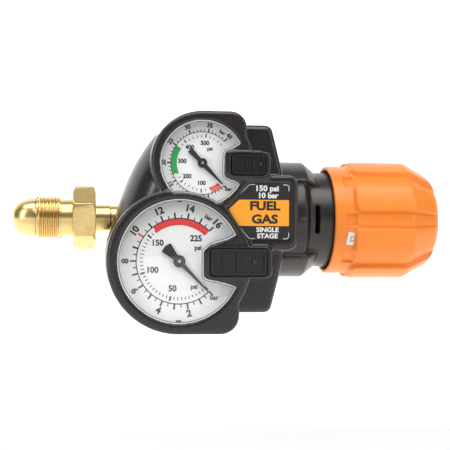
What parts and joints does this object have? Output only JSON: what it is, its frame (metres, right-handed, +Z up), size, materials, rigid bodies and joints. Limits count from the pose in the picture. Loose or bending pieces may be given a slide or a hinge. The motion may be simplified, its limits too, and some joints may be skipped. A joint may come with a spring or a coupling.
{
  "type": "gas regulator",
  "caption": "In-line gas regulator: left-hand inlet nut, diaphragm valve under a lobed adjusting knob, and two overlapping pressure gauges in one moulded cover.",
  "frame": {"origin": "centre of the inlet nut's thread, on the common axis of inlet, body and knob", "axes": "+X along that axis from the inlet towards the knob, +Z up with the dials upright, gauges face -Y, hose outlet at the back on +Y"},
  "size_m": [0.2234, 0.1003, 0.1073],
  "materials": {
    "brass": "turned, satin",
    "body_brass": "forged, matt",
    "bronze": "sintered or drawn bronze",
    "movement_brass": "stamped",
    "spring_steel": "oiled",
    "zinc_plate": "zinc plated",
    "case_steel": "pressed",
    "seat_polymer": "moulded",
    "diaphragm_rubber": "fabric reinforced",
    "bonnet_black": "satin black coating on die-cast zinc",
    "cover_black": "moulded, semi-gloss",
    "clip_black": "moulded",
    "knob_orange": "moulded, fine texture",
    "label_print": "printed film",
    "dial_face": "white enamel with printed scales",
    "pointer_black": "satin",
    "lens_clear": "clear polycarbonate"
  },
  "bodies": {
    "regulator": {"inlet_gland": "brass", "inlet_filter": "bronze", "body_casting": "body_brass", "outlet_fitting": "brass", "relief_cap": "brass", "relief_spring": "spring_steel", "valve_nozzle": "brass", "valve_guide": "brass", "valve_spring": "spring_steel", "diaphragm": "diaphragm_rubber", "slip_ring": "zinc_plate", "load_spring": "spring_steel", "bonnet": "bonnet_black", "bonnet_bush": "brass", "front_cover": "cover_black", "upper_back_plate": "cover_black", "lower_back_plate": "cover_black", "cover_screws": "zinc_plate", "clip_screws": "zinc_plate", "gas_label": "label_print", "delivery_gauge_clip": "clip_black", "inlet_gauge_clip": "clip_black", "delivery_gauge_case": "case_steel", "delivery_gauge_socket": "brass", "delivery_gauge_bourdon_tube": "bronze", "delivery_gauge_tube_tip": "brass", "delivery_gauge_movement_frame": "movement_brass", "delivery_gauge_hairspring": "bronze", "delivery_gauge_dial": "dial_face", "delivery_gauge_lens": "lens_clear", "inlet_gauge_case": "case_steel", "inlet_gauge_socket": "brass", "inlet_gauge_bourdon_tube": "bronze", "inlet_gauge_tube_tip": "brass", "inlet_gauge_movement_frame": "movement_brass", "inlet_gauge_hairspring": "bronze", "inlet_gauge_dial": "dial_face", "inlet_gauge_lens": "lens_clear"},
    "nut": {"inlet_nut": "brass"},
    "adjuster": {"spring_button": "zinc_plate", "thrust_ball": "spring_steel"},
    "knob": {"adjusting_knob": "knob_orange", "knob_hub": "brass", "knob_cap": "knob_orange", "knob_screw": "zinc_plate", "adjusting_screw": "zinc_plate"},
    "diaphragm_stack": {"diaphragm_plate": "zinc_plate"},
    "valve": {"valve_poppet": "brass", "valve_seat": "seat_polymer"},
    "relief_valve": {"relief_poppet": "brass"},
    "delivery_sector": {"delivery_gauge_sector": "movement_brass"},
    "delivery_pointer": {"delivery_gauge_pinion": "movement_brass", "delivery_gauge_pointer": "pointer_black"},
    "delivery_link": {"delivery_gauge_link": "movement_brass"},
    "inlet_sector": {"inlet_gauge_sector": "movement_brass"},
    "inlet_pointer": {"inlet_gauge_pinion": "movement_brass", "inlet_gauge_pointer": "pointer_black"},
    "inlet_link": {"inlet_gauge_link": "movement_brass"}
  },
  "joints": [
    {"name": "nut_spin", "type": "hinge", "parent": "regulator", "child": "nut", "pos_m": [0, 0, 0], "axis": [1, 0, 0], "continuous": true},
    {"name": "screw_advance", "type": "slide", "parent": "regulator", "child": "adjuster", "axis": [-1, 0, 0], "range_m": [0, 0.006], "deforming": ["load_spring"]},
    {"name": "knob_turn", "type": "hinge", "parent": "adjuster", "child": "knob", "pos_m": [0.19, 0, 0], "axis": [-1, 0, 0], "range_deg": [0, 1440]},
    {"name": "diaphragm_travel", "type": "slide", "parent": "regulator", "child": "diaphragm_stack", "axis": [-1, 0, 0], "range_m": [0, 0.0008], "stiffness_N_per_m": 4000, "springref_m": -0.0008, "deforming": ["diaphragm"]},
    {"name": "valve_lift", "type": "slide", "parent": "regulator", "child": "valve", "axis": [-1, 0, 0], "range_m": [0, 0.0008], "deforming": ["valve_spring"]},
    {"name": "relief_lift", "type": "slide", "parent": "regulator", "child": "relief_valve", "axis": [0, 1, 0], "range_m": [0, 0.0012], "stiffness_N_per_m": 800, "springref_m": -0.002, "deforming": ["relief_spring"]},
    {"name": "delivery_sector_swing", "type": "hinge", "parent": "regulator", "child": "delivery_sector", "pos_m": [0.07047, -0.0368, -0.03066], "axis": [0, -1, 0], "range_deg": [0, 40.91], "stiffness_Nm_per_rad": 0.002, "springref_deg": -11.46},
    {"name": "delivery_pointer_turn", "type": "hinge", "parent": "regulator", "child": "delivery_pointer", "pos_m": [0.0635, -0.0368, -0.0207], "axis": [0, 1, 0], "range_deg": [0, 270.01], "deforming": ["delivery_gauge_hairspring"]},
    {"name": "delivery_link_turn", "type": "hinge", "parent": "delivery_sector", "child": "delivery_link", "pos_m": [0.07173, -0.038, -0.0355], "axis": [0, -1, 0], "range_deg": [-40.92, 0]},
    {"name": "inlet_sector_swing", "type": "hinge", "parent": "regulator", "child": "inlet_sector", "pos_m": [0.07953, -0.0368, 0.01913], "axis": [0, -1, 0], "range_deg": [0, 40.91], "stiffness_Nm_per_rad": 0.002, "springref_deg": -11.46},
    {"name": "inlet_pointer_turn", "type": "hinge", "parent": "regulator", "child": "inlet_pointer", "pos_m": [0.0743, -0.0368, 0.0266], "axis": [0, 1, 0], "range_deg": [0, 270.01], "deforming": ["inlet_gauge_hairspring"]},
    {"name": "inlet_link_turn", "type": "hinge", "parent": "inlet_sector", "child": "inlet_link", "pos_m": [0.08047, -0.038, 0.0155], "axis": [0, -1, 0], "range_deg": [-40.92, 0]}
  ],
  "couplings": [
    {"joint": "screw_advance", "follows": "knob_turn", "m_per_rad": 0.00023873},
    {"joint": "valve_lift", "follows": "diaphragm_travel", "ratio": 1},
    {"joint": "delivery_pointer_turn", "follows": "delivery_sector_swing", "ratio": 6.6},
    {"joint": "delivery_link_turn", "follows": "delivery_sector_swing", "ratio": -1},
    {"joint": "inlet_pointer_turn", "follows": "inlet_sector_swing", "ratio": 6.6},
    {"joint": "inlet_link_turn", "follows": "inlet_sector_swing", "ratio": -1}
  ]
}
